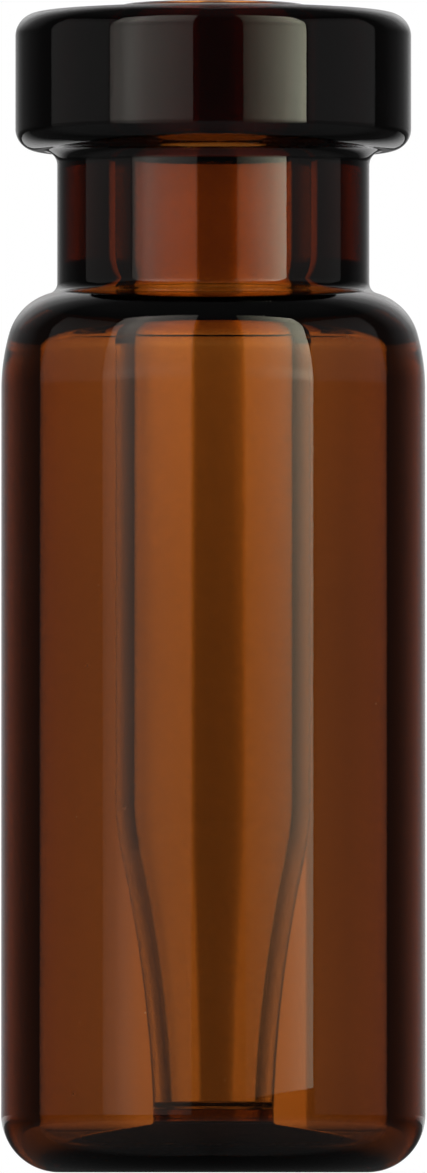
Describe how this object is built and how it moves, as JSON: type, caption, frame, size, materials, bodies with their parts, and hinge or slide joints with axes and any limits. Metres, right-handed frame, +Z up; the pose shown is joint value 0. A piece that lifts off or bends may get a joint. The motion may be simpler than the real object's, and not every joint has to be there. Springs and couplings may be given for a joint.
{
  "type": "glass sample vial",
  "caption": "Amber glass crimp-neck sample vial with a clear conical glass micro insert fused to the boss on its floor.",
  "frame": {"origin": "centre of the standing face, on the plane that the vial stands on", "axes": "+Z up along the vial's axis towards its mouth; +X and +Y are free, because the vial is a body of revolution"},
  "size_m": [0.0116, 0.0116, 0.0322],
  "materials": {
    "amber_glass": "clear amber borosilicate glass, fire-polished",
    "clear_glass": "clear borosilicate glass, fire-polished rim"
  },
  "bodies": {
    "root": {"vial_body": "amber_glass", "micro_insert": "clear_glass"}
  },
  "joints": []
}
